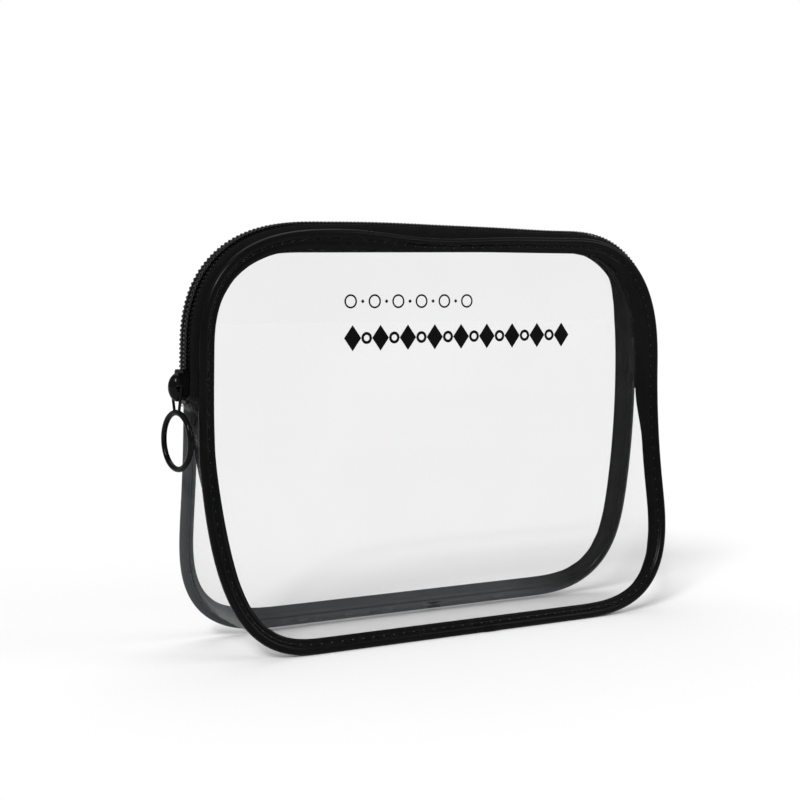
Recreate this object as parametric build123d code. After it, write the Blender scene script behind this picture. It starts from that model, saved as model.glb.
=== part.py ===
from build123d import *
import math
import os

os.makedirs("parts", exist_ok=True)

# Clear vinyl makeup bag with black piping and a zip over its top, in millimetres.
# +X runs along the width, -Y is the front, +Z is up. The bag is modelled about its own
# middle and moved at the end, so that the origin is the middle of the whole box's base.

# Loop of the piping, seen from the front, measured on the bead's centre line
LOOP_HALF_WIDTH = 118.0
LOOP_HEIGHT = 174.5
TOP_CORNER_R = 54.0
BOTTOM_CORNER_R = 44.0

# Side profile: walls lean in from the base, bend, and stand upright below the zip
BASE_HALF_DEPTH = 25.4
TOP_HALF_DEPTH = 8.8
WALL_LEAN = 11.7
LEAN_TOP_Z = 50.0

# Sheet and piping
SHEET = 0.4
BEAD_R = 2.1
CORD_R = 1.25
CORD_BORE_R = 1.3
BEAD_FLAT = 0.2
FLANGE_THICK = 0.5
FLANGE_WIDTH = 5.3
SPLICE_X = 13.0
SPLICE_LENGTH = 9.0
SPLICE_WALL = 0.35
SPLICE_LIP = 0.3
SPLICE_GAP = 0.02
BEAD_GAP = 0.03
GUSSET_GAP = 0.05

# Zip: heights above the base, and distances out from the piping's loop
ZIP_LEFT_Z = 107.8
ZIP_RIGHT_Z = 131.0
TAPE_THICK = 0.5
TAPE_OUT = 4.05
TAPE_FLAT_Y = 5.2
TAPE_EDGE_OUT = 0.75
TAPE_EDGE_Y = 6.55
CHAIN_GAP = 0.5
COIL_HALF_WIDTH = 3.5
COIL_LOW = 4.35
COIL_CROWN = 6.15
COIL_ROUND = 0.5
STOP_LENGTH = 1.2
STOP_GAP = 0.1
TAIL_OUT = -1.05
TAIL_LEFT_Z = 86.0
TAIL_RIGHT_Z = 105.0
RAIL_RUN_OUT = 10.0

# Front wall's upper part, which folds forward when the zip is undone
FOLD_Z = 131.5
FOLD_GAP = 0.3

# Slider, parked at the left end of the zip
SLIDER_Z = 114.8
SLIDER_LENGTH = 11.5
SHOULDER_HALF = 5.2
SHOULDER_SHARE = 0.25
NOSE_SHARE = 0.92
SHIELD_CORNER = 1.4
TAIL_HALF = 4.25
CHANNEL_HALF = 3.75
UNDER_LOW = 1.35
UNDER_TOP = 2.2
UNDER_SHOULDER_INSET = 1.5
UNDER_TAIL_INSET = 1.1
LIP_LOW = 5.3
PLATE_LOW = 6.75
PLATE_TOP = 7.75
POST_HALF = 0.2
POST_LOW_Z = 1.6
POST_HIGH_Z = 4.9
POST_BITE = 0.4
CAP_TOP = 11.0
CAP_LENGTH = 10.4
CAP_WIDTH = 5.8
CAP_ROUND = 1.9
PIVOT_OUT = 8.85
PIVOT_DROP = 2.0
TUNNEL_HALF = 1.2
TUNNEL_TOP = 10.0
SPRING_THICK = 0.3
SPRING_HALF = 0.9
SPRING_LOW_Z = 0.4
SPRING_HIGH_Z = 3.5
SPRING_LEAF_SHORT = 0.5
SPRING_ROOM = 0.3
SPRING_GAP = 0.1
CUT_OVER = 1.0

# Ring pull
RING_OUTER_R = 12.3
RING_INNER_R = 10.1
RING_THICK = 1.9
RING_ROUND = 0.5
RING_DROP = 22.1
EYE_BAR_R = 0.7
EYE_TOP_HALF = 3.7
EYE_LOW_HALF = 2.7
EYE_THICK = 1.3
EYE_FOOT = 0.9
EYE_WEB = 2.0
EYE_WINDOW_TOP = 1.0
EYE_WINDOW_DROP = 3.75

# Stitches
STITCH_PITCH = 5.0
STITCH_LENGTH = 3.0
STITCH_WIDTH = 0.45
STITCH_RISE = 0.2
STITCH_INSET = 3.1
STITCH_GAP = 0.02
FOLD_KEEP = 2.0
BARTACK_HALF = 5.0
BARTACK_ROWS = 3
BARTACK_PITCH = 1.4
LEFT_BARTACK_DROP = 3.0
RIGHT_BARTACK_DROP = 2.0

# Worked out from the above
ZB = BEAD_R - BEAD_FLAT
ZT = ZB + LOOP_HEIGHT
CORNER_X = LOOP_HALF_WIDTH - TOP_CORNER_R
CORNER_Z = ZT - TOP_CORNER_R
LEAN = math.radians(WALL_LEAN)
BEND_R = (
    BASE_HALF_DEPTH - TOP_HALF_DEPTH - math.tan(LEAN) * (LEAN_TOP_Z - ZB)
) / (1 - math.cos(LEAN))
BEND_TOP_Z = LEAN_TOP_Z + BEND_R * math.sin(LEAN)
CENTRE_SHIFT = (CAP_TOP - COIL_CROWN) / 2
REACH = 400.0


# ---- side profile -------------------------------------------------------------------

def lean_point(along, inward=0.0):
    """(y, z) of the front wall's leaning stretch, `along` it from the base."""
    y = -BASE_HALF_DEPTH + along * math.sin(LEAN) + inward * math.cos(LEAN)
    z = ZB + along * math.cos(LEAN) - inward * math.sin(LEAN)
    return y, z


def bend_point(turn, inward=0.0):
    """(y, z) of the front wall's bend, `turn` radians up from its lower end."""
    r = BEND_R + inward
    angle = LEAN - turn
    y = -TOP_HALF_DEPTH - BEND_R + r * math.cos(angle)
    z = BEND_TOP_Z - r * math.sin(angle)
    return y, z


def wall_normal(z):
    """Outward normal of the front wall at height z."""
    if z < LEAN_TOP_Z:
        angle = LEAN
    elif z < BEND_TOP_Z:
        angle = math.asin((BEND_TOP_Z - z) / BEND_R)
    else:
        angle = 0.0
    return 0.0, -math.cos(angle), math.sin(angle)


def wall_section(outer, inner):
    """Closed section of the front wall between two distances inward of its middle line."""
    run = (LEAN_TOP_Z - ZB) / math.cos(LEAN)
    rim = ZT + BEAD_R

    def at(point, inward):
        y, z = point
        return 0.0, y, z

    edges = []
    for side in (outer, inner):
        low = at(lean_point(-BEAD_R, side), side)
        knee = at(lean_point(run, side), side)
        mid = at(bend_point(LEAN / 2, side), side)
        top = at(bend_point(LEAN, side), side)
        end = (0.0, top[1], rim)
        edges.append((low, knee, mid, top, end))
    lines = []
    for low, knee, mid, top, end in edges:
        lines += [Line(low, knee), ThreePointArc(knee, mid, top), Line(top, end)]
    lines += [Line(edges[0][0], edges[1][0]), Line(edges[0][4], edges[1][4])]
    return make_face(Wire(lines))


def wall_slab(outer, inner):
    """The section run along the whole width."""
    return extrude(wall_section(outer, inner), amount=REACH / 2, dir=(1, 0, 0), both=True)


def outline(inset):
    """Prism of the loop's front view, made smaller all round by inset."""
    half = LOOP_HALF_WIDTH - inset
    low = ZB + inset
    high = ZT - inset
    low_r = BOTTOM_CORNER_R - inset
    high_r = TOP_CORNER_R - inset
    bulge = math.sqrt(0.5)

    def p(x, z):
        return x, 0.0, z

    right = Wire([
        Line(p(0, low), p(half - low_r, low)),
        ThreePointArc(
            p(half - low_r, low),
            p(half - low_r * (1 - bulge), low + low_r * (1 - bulge)),
            p(half, low + low_r),
        ),
        Line(p(half, low + low_r), p(half, high - high_r)),
        ThreePointArc(
            p(half, high - high_r),
            p(half - high_r * (1 - bulge), high - high_r * (1 - bulge)),
            p(half - high_r, high),
        ),
        Line(p(half - high_r, high), p(0, high)),
    ])
    left = mirror(right, about=Plane.YZ)
    face = make_face(right.edges() + left.edges())
    return extrude(face, amount=REACH / 2, dir=(0, 1, 0), both=True)


def slab_z(low, high):
    """Everything between two heights."""
    return Pos(0, 0, (low + high) / 2) * Box(REACH, REACH, high - low)


def slab_x(low, high):
    """Everything between two widths."""
    return Pos((low + high) / 2, 0, REACH / 4) * Box(high - low, REACH, 2 * REACH)


def back_of(shape):
    """The same shape on the back of the bag."""
    return mirror(shape, about=Plane.XZ)


# ---- piping -------------------------------------------------------------------------

def bead_path(inset=0.0):
    """Half of the front bead's centre line, from the base's middle to the top's middle."""
    low_r = BOTTOM_CORNER_R - inset
    high_r = TOP_CORNER_R - inset
    side = LOOP_HALF_WIDTH - inset
    turn = math.sqrt(0.5)

    def leaning(x, along):
        y, z = lean_point(along)
        return x, y, z

    def upright(x, z):
        return x, -TOP_HALF_DEPTH, z

    run = (LEAN_TOP_Z - ZB) / math.cos(LEAN)
    bend_mid = (side, *bend_point(LEAN / 2))
    bend_top = upright(side, BEND_TOP_Z)
    return Wire([
        Line(leaning(0, inset), leaning(side - low_r, inset)),
        ThreePointArc(
            leaning(side - low_r, inset),
            leaning(side - low_r * (1 - turn), inset + low_r * (1 - turn)),
            leaning(side, inset + low_r),
        ),
        Line(leaning(side, inset + low_r), leaning(side, run)),
        ThreePointArc(leaning(side, run), bend_mid, bend_top),
        Line(bend_top, upright(side, CORNER_Z)),
        ThreePointArc(
            upright(side, CORNER_Z),
            upright(side - high_r * (1 - turn), ZT - inset - high_r * (1 - turn)),
            upright(side - high_r, ZT - inset),
        ),
        Line(upright(side - high_r, ZT - inset), upright(0, ZT - inset)),
    ])


def bead_tube(radius):
    """Round tube along the whole front loop."""
    path = bead_path()
    section = Plane(origin=path @ 0, z_dir=path % 0) * Circle(radius)
    half = sweep(section, path=path)
    return half + mirror(half, about=Plane.YZ)


bead = bead_tube(BEAD_R)
bead_room = bead_tube(BEAD_R + BEAD_GAP)
cord_room = bead_tube(CORD_BORE_R)
above_floor = slab_z(0, REACH)

flange_ring = wall_slab(SHEET / 2, SHEET / 2 + FLANGE_THICK) & (
    outline(BEAD_R / 2) - outline(FLANGE_WIDTH)
)
piping = ((bead + flange_ring) - cord_room) & above_floor
cord = bead_tube(CORD_R)

below_fold = slab_z(-REACH, FOLD_Z - FOLD_GAP / 2)
above_fold = slab_z(FOLD_Z + FOLD_GAP / 2, REACH)


def splice():
    """Short overlapping sleeve where the piping's two ends meet under the base."""
    path = Line(
        (SPLICE_X - SPLICE_LENGTH / 2, -BASE_HALF_DEPTH, ZB),
        (SPLICE_X + SPLICE_LENGTH / 2, -BASE_HALF_DEPTH, ZB),
    )
    plane = Plane(origin=path @ 0, z_dir=path % 0)
    sleeve = sweep(plane * Circle(BEAD_R + SPLICE_WALL), path=path)
    hole = sweep(plane * Circle(BEAD_R + SPLICE_GAP), path=path)
    outer_half = Pos(0, -BASE_HALF_DEPTH - BEAD_R - SPLICE_LIP, REACH / 2) * Box(
        REACH, 2 * BEAD_R, REACH
    )
    return (sleeve - hole) & outer_half


# ---- clear sheets -------------------------------------------------------------------

front_panel = (wall_slab(-SHEET / 2, SHEET / 2) & outline(BEAD_R / 2)) - bead_room


def gusset():
    """Clear strip under the base and up both sides, to the ends of the zip."""
    strip = outline(SHEET / 2) - outline(SHEET * 1.5)
    front_limit = wall_slab(-REACH / 8, SHEET / 2 + FLANGE_THICK + GUSSET_GAP)
    strip = strip - front_limit - back_of(front_limit) - bead_room - back_of(bead_room)
    depth_limit = Pos(0, 0, REACH / 4) * Box(REACH, 2 * BASE_HALF_DEPTH, REACH)
    left = slab_x(-REACH, 0) & slab_z(-REACH, ZIP_LEFT_Z)
    right = slab_x(0, REACH) & slab_z(-REACH, ZIP_RIGHT_Z)
    return (strip & depth_limit) & (left + right)


# ---- zip ----------------------------------------------------------------------------

def rail(points, rounding=0.0):
    """Section of (out, y) points run up the left side, over the top and down the right."""
    low = TAIL_LEFT_Z - RAIL_RUN_OUT
    face = make_face(Polyline(
        *[(-LOOP_HALF_WIDTH - out, y, 0.0) for out, y in points], close=True
    ))
    if rounding:
        face = fillet(face.vertices(), rounding)
    side = extrude(Pos(0, 0, low) * face, amount=CORNER_Z - low, dir=(0, 0, 1))
    centre = Axis((-CORNER_X, 0, CORNER_Z), (0, 1, 0))
    corner = revolve(Pos(0, 0, CORNER_Z) * face, axis=centre, revolution_arc=90)
    turned = (Pos(0, 0, CORNER_Z) * face).rotate(centre, 90)
    top = extrude(turned, amount=2 * CORNER_X, dir=(1, 0, 0))
    half = side + corner
    return half + top + mirror(half, about=Plane.YZ)


def tape_section():
    """Front tape: flat beside the chain, then sloping down to the piping."""
    half = TAPE_THICK / 2
    slope = math.atan2(TAPE_OUT - TAPE_EDGE_OUT, TAPE_EDGE_Y - TAPE_FLAT_Y)
    knee = half * math.tan(slope / 2)
    side_out = half * math.cos(slope)
    side_y = half * math.sin(slope)
    return [
        (TAPE_OUT + half, -CHAIN_GAP),
        (TAPE_OUT + half, -TAPE_FLAT_Y - knee),
        (TAPE_EDGE_OUT + side_out, -TAPE_EDGE_Y - side_y),
        (TAPE_EDGE_OUT - side_out, -TAPE_EDGE_Y + side_y),
        (TAPE_OUT - half, -TAPE_FLAT_Y + knee),
        (TAPE_OUT - half, -CHAIN_GAP),
    ]


def bar_section(low, high, near, far):
    """Plain section between two distances out and two depths."""
    return [(low, near), (low, far), (high, far), (high, near)]


front_tape = rail(tape_section())
front_coil = rail(
    bar_section(COIL_LOW, COIL_CROWN, -CHAIN_GAP, -COIL_HALF_WIDTH), COIL_ROUND
)
tail_half = TAPE_THICK / 2
tails = rail(bar_section(
    TAIL_OUT - tail_half, TAIL_OUT + tail_half, -CHAIN_GAP, -TAPE_EDGE_Y
))
tails = tails + back_of(tails)
stop_bar = rail(bar_section(
    COIL_LOW, COIL_CROWN, -COIL_HALF_WIDTH, COIL_HALF_WIDTH
))

left_side = slab_x(-REACH, 0)
right_side = slab_x(0, REACH)
back_span = (left_side & slab_z(ZIP_LEFT_Z, REACH)) + (
    right_side & slab_z(ZIP_RIGHT_Z + FOLD_GAP, REACH)
)
left_end_span = left_side & slab_z(ZIP_LEFT_Z, FOLD_Z - FOLD_GAP / 2)


# ---- slider and pull ----------------------------------------------------------------

def slider_plane(out, z=SLIDER_Z):
    """Plane across the zip's left side, facing away from the bag."""
    return Plane(
        origin=(-LOOP_HALF_WIDTH - out, 0, z), x_dir=(0, -1, 0), z_dir=(-1, 0, 0)
    )


def shield(shoulder, tail, out_low, out_high):
    """Slider plate: broad shoulders at the leading end, a narrower tail."""
    half = SLIDER_LENGTH / 2
    plan = make_face(Polyline(
        (-tail, -half), (tail, -half), (shoulder, half * SHOULDER_SHARE),
        (shoulder * NOSE_SHARE, half), (-shoulder * NOSE_SHARE, half),
        (-shoulder, half * SHOULDER_SHARE),
        close=True,
    ))
    plan = fillet(plan.vertices(), SHIELD_CORNER)
    return extrude(slider_plane(out_low) * plan, amount=out_high - out_low)


def slider_box(out_low, out_high, half_width, z_low, z_high):
    """Block on the slider, from out_low to out_high away from the piping's loop."""
    return Pos(
        -LOOP_HALF_WIDTH - (out_low + out_high) / 2, 0, SLIDER_Z + (z_low + z_high) / 2
    ) * Box(out_high - out_low, 2 * half_width, z_high - z_low)


def slider_body():
    upper = shield(SHOULDER_HALF, TAIL_HALF, LIP_LOW, PLATE_TOP)
    channel = slider_box(
        LIP_LOW - CUT_OVER, PLATE_LOW, CHANNEL_HALF, -SLIDER_LENGTH, SLIDER_LENGTH
    )
    under = shield(
        SHOULDER_HALF - UNDER_SHOULDER_INSET, TAIL_HALF - UNDER_TAIL_INSET,
        UNDER_LOW, UNDER_TOP,
    )
    post = slider_box(
        UNDER_TOP - POST_BITE, PLATE_LOW + POST_BITE, POST_HALF, POST_LOW_Z, POST_HIGH_Z
    )
    return (upper - channel) + under + post


def slider_cap():
    plan = slider_plane(PLATE_TOP) * SlotOverall(CAP_LENGTH, CAP_WIDTH, rotation=90)
    dome = extrude(plan, amount=CAP_TOP - PLATE_TOP)
    dome = fillet(dome.faces().sort_by(Axis.X)[0].edges(), CAP_ROUND)
    tunnel = slider_box(
        PLATE_TOP - CUT_OVER, TUNNEL_TOP, CAP_WIDTH,
        -PIVOT_DROP - TUNNEL_HALF, -PIVOT_DROP + TUNNEL_HALF,
    )
    pocket = slider_box(
        PLATE_TOP - CUT_OVER, TUNNEL_TOP - SPRING_GAP, SPRING_HALF + SPRING_ROOM,
        SPRING_LOW_Z - SPRING_ROOM, SPRING_HIGH_Z + SPRING_ROOM,
    )
    return dome - tunnel - pocket


def slider_lock_spring():
    """Leaf bent into a C, which presses the lock's tooth into the chain."""
    low = PLATE_TOP + SPRING_GAP
    high = TUNNEL_TOP - SPRING_THICK - SPRING_GAP
    tip = SPRING_LOW_Z + SPRING_LEAF_SHORT
    foot = slider_box(low, low + SPRING_THICK, SPRING_HALF, SPRING_LOW_Z, SPRING_HIGH_Z)
    back = slider_box(low, high, SPRING_HALF, SPRING_HIGH_Z - SPRING_THICK, SPRING_HIGH_Z)
    leaf = slider_box(high - SPRING_THICK, high, SPRING_HALF, tip, SPRING_HIGH_Z)
    return foot + back + leaf


def pull_ring():
    """Flat ring with the eye that the cap holds."""
    pivot_z = SLIDER_Z - PIVOT_DROP
    ring_z = pivot_z - RING_DROP
    low = PIVOT_OUT - RING_THICK / 2
    ring = extrude(slider_plane(low, ring_z) * (
        Circle(RING_OUTER_R) - Circle(RING_INNER_R)
    ), amount=RING_THICK)
    ring = fillet(ring.edges(), RING_ROUND)
    width = EYE_BAR_R * 2
    foot = RING_DROP - RING_OUTER_R + EYE_FOOT
    outer = make_face(Polyline(
        (-EYE_LOW_HALF, -foot), (EYE_LOW_HALF, -foot),
        (EYE_TOP_HALF + width, 0), (-EYE_TOP_HALF - width, 0), close=True,
    ))
    inner = make_face(Polyline(
        (-EYE_LOW_HALF + width, -foot + EYE_WEB),
        (EYE_LOW_HALF - width, -foot + EYE_WEB),
        (EYE_TOP_HALF, -EYE_WINDOW_DROP), (EYE_TOP_HALF, EYE_WINDOW_TOP),
        (-EYE_TOP_HALF, EYE_WINDOW_TOP), (-EYE_TOP_HALF, -EYE_WINDOW_DROP), close=True,
    ))
    eye_low = PIVOT_OUT - EYE_THICK / 2
    eye = extrude(slider_plane(eye_low, pivot_z) * (outer - inner), amount=EYE_THICK)
    bar = Pos(-LOOP_HALF_WIDTH - PIVOT_OUT, 0, pivot_z) * Rot(90, 0, 0) * Cylinder(
        EYE_BAR_R, 2 * (EYE_TOP_HALF + width)
    )
    return ring + eye + bar


# ---- stitches -----------------------------------------------------------------------

def stitches_along(path, keep):
    """Short raised stitches at an even pitch, on the front wall's outer face."""
    count = int(path.length / STITCH_PITCH)
    found = []
    for index in range(count):
        share = (index + 0.5) / count
        spot = path @ share
        if not keep(spot.Z):
            continue
        normal = Vector(*wall_normal(spot.Z))
        seat = spot + normal * (SHEET / 2 + STITCH_GAP + STITCH_RISE / 2)
        plane = Plane(origin=seat, x_dir=path % share, z_dir=normal)
        piece = plane * Box(STITCH_LENGTH, STITCH_WIDTH, STITCH_RISE)
        found += [piece, mirror(piece, about=Plane.YZ)]
    return Compound(children=found)


def bartack(z, side):
    """Three short rows of thread across the end of the zip."""
    rows = []
    for row in range(BARTACK_ROWS):
        rows.append(
            Pos(side * (LOOP_HALF_WIDTH + STITCH_RISE), 0, z - BARTACK_PITCH * row)
            * Box(STITCH_RISE, 2 * BARTACK_HALF, STITCH_WIDTH)
        )
    return Compound(children=rows)


seam_path = bead_path(STITCH_INSET)

PARTS = {
    "front_panel_lower": front_panel & below_fold,
    "front_panel_upper": front_panel & above_fold,
    "back_panel": back_of(front_panel),
    "gusset": gusset(),
    "front_piping_lower": piping & below_fold,
    "front_piping_upper": piping & above_fold,
    "front_piping_cord_lower": cord & below_fold,
    "front_piping_cord_upper": cord & above_fold,
    "back_piping": back_of(piping),
    "back_piping_cord": back_of(cord),
    "front_piping_splice": splice(),
    "back_piping_splice": back_of(splice()),
    "front_zipper_tape": front_tape & above_fold,
    "front_zipper_tape_end": front_tape & left_end_span,
    "back_zipper_tape": back_of(front_tape) & back_span,
    "front_zipper_coil": front_coil & above_fold,
    "front_zipper_coil_end": front_coil & left_end_span,
    "back_zipper_coil": back_of(front_coil) & back_span,
    "left_tape_tails": tails & left_side & slab_z(TAIL_LEFT_Z, ZIP_LEFT_Z),
    "right_tape_tails": tails & right_side & slab_z(TAIL_RIGHT_Z, ZIP_RIGHT_Z),
    "left_zip_stop": stop_bar & left_side & slab_z(
        ZIP_LEFT_Z - STOP_LENGTH - STOP_GAP, ZIP_LEFT_Z - STOP_GAP
    ),
    "right_zip_stop": stop_bar & right_side & slab_z(
        ZIP_RIGHT_Z - STOP_LENGTH, ZIP_RIGHT_Z
    ),
    "slider_body": slider_body(),
    "slider_cap": slider_cap(),
    "slider_lock_spring": slider_lock_spring(),
    "pull_ring": pull_ring(),
    "front_seam_thread_lower": stitches_along(
        seam_path, lambda z: z < FOLD_Z - FOLD_KEEP
    ),
    "front_seam_thread_upper": stitches_along(
        seam_path, lambda z: z > FOLD_Z + FOLD_KEEP
    ),
    "back_seam_thread": back_of(stitches_along(seam_path, lambda z: True)),
    "left_bartack": bartack(ZIP_LEFT_Z - LEFT_BARTACK_DROP, -1),
    "right_bartack": bartack(CORNER_Z - RIGHT_BARTACK_DROP, 1),
}

for name, shape in PARTS.items():
    export_step(Pos(CENTRE_SHIFT, 0, 0) * shape, f"parts/{name}.step")
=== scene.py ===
import math

import bmesh
import bpy
import numpy as np
from mathutils import Matrix, Vector


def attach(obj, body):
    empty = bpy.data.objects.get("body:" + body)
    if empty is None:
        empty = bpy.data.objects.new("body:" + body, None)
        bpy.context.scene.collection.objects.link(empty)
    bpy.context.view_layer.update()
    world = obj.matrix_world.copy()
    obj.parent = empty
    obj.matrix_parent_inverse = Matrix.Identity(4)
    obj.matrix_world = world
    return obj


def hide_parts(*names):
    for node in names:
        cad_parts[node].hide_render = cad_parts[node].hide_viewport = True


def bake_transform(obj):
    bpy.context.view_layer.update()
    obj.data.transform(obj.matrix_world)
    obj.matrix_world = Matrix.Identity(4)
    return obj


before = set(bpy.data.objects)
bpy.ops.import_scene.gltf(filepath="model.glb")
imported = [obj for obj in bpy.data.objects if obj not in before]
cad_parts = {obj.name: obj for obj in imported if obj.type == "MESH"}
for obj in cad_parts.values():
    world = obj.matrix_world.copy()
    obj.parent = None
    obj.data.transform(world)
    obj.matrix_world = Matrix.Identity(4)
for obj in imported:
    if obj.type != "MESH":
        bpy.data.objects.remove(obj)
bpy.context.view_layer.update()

# ---- the bag's own sizes, in millimetres ---------------------------------------------

MM = 0.001
MIDDLE_X = 2.425

HALF_WIDTH = 118.0
BASE_Z = 1.9
TOP_Z = 176.4

BASE_HALF_DEPTH = 25.4
TOP_HALF_DEPTH = 8.8
LEAN = math.radians(11.7)
LEAN_TOP_Z = 50.0
BEND_R = (
    BASE_HALF_DEPTH - TOP_HALF_DEPTH - math.tan(LEAN) * (LEAN_TOP_Z - BASE_Z)
) / (1 - math.cos(LEAN))
BEND_TOP_Z = LEAN_TOP_Z + BEND_R * math.sin(LEAN)

SHEET = 0.4
BEAD_R = 2.1
BORE_R = 1.3
CORD_R = 1.25
FRONT_FLANGE = {
    "left": 4.6, "right": 7.6, "top": 5.6, "base": 4.6, "corner": 0.0, "high": 3.0, "low": 1.4,
    "slope": 0.0,
}
FRONT_DISH = -1.0
BACK_FLANGE = {
    "left": 3.9, "right": 9.0, "top": 5.5, "base": 7.6, "corner": 3.4, "high": 0.0, "low": 0.0,
    "slope": 1.4,
}
BACK_DISH = 1.6
BACK_LIFT = 1.3
BACK_FLANGE_SINK = 1.25
LEFT_BULGE = 1.1
LEFT_BULGE_Z = 92
LEFT_BULGE_WIDTH = 26
LEAF = 2.9
BROAD_LEAF = 9.6
LAP_START_X = 8.5
LAP_LENGTH = 9.0
STITCH_SPACING = 5.0

ZIP_LEFT_Z = 107.8
ZIP_RIGHT_Z = 131.0
TAIL_LEFT_Z = 86.0
TAIL_RIGHT_Z = 105.0
TAPE_THICK = 0.5
PITCH = 1.81
COIL_OUT = 5.25
COIL_REACH = 3.5
COIL_END_GAP = 1.5

SLIDER_Z = 114.8
PIVOT_Z = 112.8
PIVOT_OUT = 8.85
PLATE_TOP = 7.75
DOME_RADII = (4.2, 3.9, 6.0)
DOME_OUT = 8.2
DOME_RISE = 0.4
SLOT_OUT = 8.6
SLOT_SIZE = (3.3, 10.0, 2.7)
POCKET_OUT = 8.45
POCKET_RISE = 1.95
POCKET_SIZE = (2.7, 2.6, 3.5)

UPPER_ROW_X = -49.5
UPPER_ROW_Z = 148.6
UPPER_ROW_STEP = 11.9
LOWER_ROW_X = -48.6
LOWER_ROW_Z = 132.6
LOWER_ROW_STEP = 13.9

RING_DROP = 22.1
RING_SLACK = 0.1
RING_R = 11.85
RING_WIRE_R = 1.22
RING_TWIST = math.radians(6.5)
EYE_HALF = 4.35
EYE_TOP_RISE = 0.3
EYE_FOOT_HALF = 2.0
EYE_FOOT_RISE = 12.3
FOOT_BAR_HALF = 2.3
EYE_BAR_R = 0.62
EYE_LEG_R = 0.6
FOOT_BAR_R = 0.8


# ---- camera, light and floor ---------------------------------------------------------

def make_camera():
    data = bpy.data.cameras.new("Camera")
    data.lens = 67.0
    data.sensor_width = 36.0
    camera = bpy.data.objects.new("Camera", data)
    bpy.context.scene.collection.objects.link(camera)
    turn = math.radians(-29.68)
    rise = math.radians(4.16)
    back = Vector((
        math.sin(turn) * math.cos(rise),
        -math.cos(turn) * math.cos(rise),
        math.sin(rise),
    ))
    camera.location = Vector((-0.0177, 0.0, 0.1041)) + back * 0.671
    camera.rotation_mode = "QUATERNION"
    camera.rotation_quaternion = (-back).to_track_quat("-Z", "Y")
    bpy.context.scene.camera = camera


def make_sun(name, place, strength, spread):
    """Far lamp that lights everything evenly; a wider spread gives softer shadows."""
    data = bpy.data.lights.new(name, "SUN")
    data.energy = strength
    data.angle = math.radians(spread)
    light = bpy.data.objects.new(name, data)
    bpy.context.scene.collection.objects.link(light)
    light.location = place
    light.rotation_mode = "QUATERNION"
    light.rotation_quaternion = (-Vector(place)).to_track_quat("-Z", "Y")


def make_studio():
    """White backdrop, a dimmer room round it, three soft lamps and a small one for glints."""
    scene = bpy.context.scene
    scene.view_settings.view_transform = "Standard"
    world = bpy.data.worlds.new("studio")
    scene.world = world
    world.use_nodes = True
    tree = world.node_tree
    room = tree.nodes["Background"]
    room.inputs["Color"].default_value = (1.0, 1.0, 1.0, 1.0)
    room.inputs["Strength"].default_value = 0.42
    backdrop = tree.nodes.new("ShaderNodeBackground")
    backdrop.inputs["Color"].default_value = (1.0, 1.0, 1.0, 1.0)
    backdrop.inputs["Strength"].default_value = 1.0
    path = tree.nodes.new("ShaderNodeLightPath")
    mix = tree.nodes.new("ShaderNodeMixShader")
    tree.links.new(path.outputs["Is Camera Ray"], mix.inputs[0])
    tree.links.new(room.outputs["Background"], mix.inputs[1])
    tree.links.new(backdrop.outputs["Background"], mix.inputs[2])
    tree.links.new(mix.outputs["Shader"], tree.nodes["World Output"].inputs["Surface"])
    make_sun("key", (-1.0, -0.8, 1.2), 1.9, 17.0)
    make_sun("sparkle", (-0.9, -1.0, 0.9), 0.4, 4.0)
    make_sun("fill", (1.0, -0.8, 0.7), 0.8, 30.0)
    make_sun("top", (0.1, 0.5, 1.4), 1.0, 50.0)


def make_floor(material):
    deselect()
    bpy.ops.mesh.primitive_plane_add(size=12.0, location=(0, 0, 0))
    floor = bpy.context.active_object
    floor.name = "floor"
    floor.data.materials.append(material)


# ---- node helpers --------------------------------------------------------------------

class Nodes:
    """A material's node tree, built a node at a time."""

    def __init__(self, name):
        self.material = bpy.data.materials.new(name)
        self.material.use_nodes = True
        self.tree = self.material.node_tree
        self.shader = self.tree.nodes["Principled BSDF"]
        self.coords = self.tree.nodes.new("ShaderNodeTexCoord")

    def fixed(self, **values):
        for name, value in values.items():
            self.shader.inputs[name.replace("_", " ")].default_value = value

    def link(self, out_socket, in_socket):
        self.tree.links.new(out_socket, in_socket)

    def feed(self, name, out_socket):
        self.link(out_socket, self.shader.inputs[name])

    def noise(self, scale, detail=3.0):
        node = self.tree.nodes.new("ShaderNodeTexNoise")
        node.inputs["Scale"].default_value = scale
        node.inputs["Detail"].default_value = detail
        self.link(self.coords.outputs["Object"], node.inputs["Vector"])
        return node.outputs["Fac"]

    def math(self, operation, a, b=0.0):
        node = self.tree.nodes.new("ShaderNodeMath")
        node.operation = operation
        for socket, value in zip(node.inputs, (a, b)):
            if isinstance(value, (int, float)):
                socket.default_value = value
            else:
                self.link(value, socket)
        return node.outputs["Value"]

    def ramp(self, factor, stops):
        node = self.tree.nodes.new("ShaderNodeValToRGB")
        ramp = node.color_ramp
        while len(ramp.elements) < len(stops):
            ramp.elements.new(0.5)
        for element, (place, colour) in zip(ramp.elements, stops):
            element.position = place
            if isinstance(colour, (int, float)):
                colour = (colour, colour, colour)
            element.color = (*colour, 1.0)
        self.link(factor, node.inputs["Fac"])
        return node.outputs["Color"]

    def uv(self):
        node = self.tree.nodes.new("ShaderNodeSeparateXYZ")
        self.link(self.coords.outputs["UV"], node.inputs["Vector"])
        return node.outputs["X"], node.outputs["Y"]

    def bump(self, height, strength, distance):
        node = self.tree.nodes.new("ShaderNodeBump")
        node.inputs["Strength"].default_value = strength
        node.inputs["Distance"].default_value = distance
        self.link(height, node.inputs["Height"])
        self.feed("Normal", node.outputs["Normal"])

    def facing(self, blend):
        node = self.tree.nodes.new("ShaderNodeLayerWeight")
        node.inputs["Blend"].default_value = blend
        return node.outputs["Facing"]


# ---- materials -----------------------------------------------------------------------

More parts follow.
